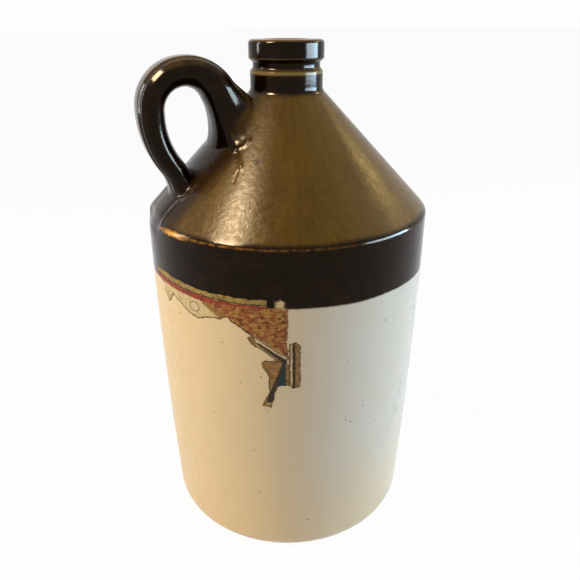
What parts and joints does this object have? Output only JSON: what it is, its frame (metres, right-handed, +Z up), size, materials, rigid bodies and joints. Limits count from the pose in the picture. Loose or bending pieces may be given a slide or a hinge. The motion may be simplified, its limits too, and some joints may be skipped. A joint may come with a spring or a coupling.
{
  "type": "stoneware jug",
  "caption": "Stoneware shoulder jug with a dark glazed cone, cream body, strap handle from neck to shoulder and a torn paper label.",
  "frame": {"origin": "middle of the flat foot that the jug stands on", "axes": "+Z up the jug's axis, handle towards -X, the label's remains towards -Y"},
  "size_m": [0.1667, 0.1652, 0.2952],
  "materials": {
    "jug": "glossy salt-free glaze, dark brown above and cream below",
    "label_scrap": "aged printed paper, torn"
  },
  "bodies": {
    "root": {"jug": "jug", "label_scrap": "label_scrap"}
  },
  "joints": []
}
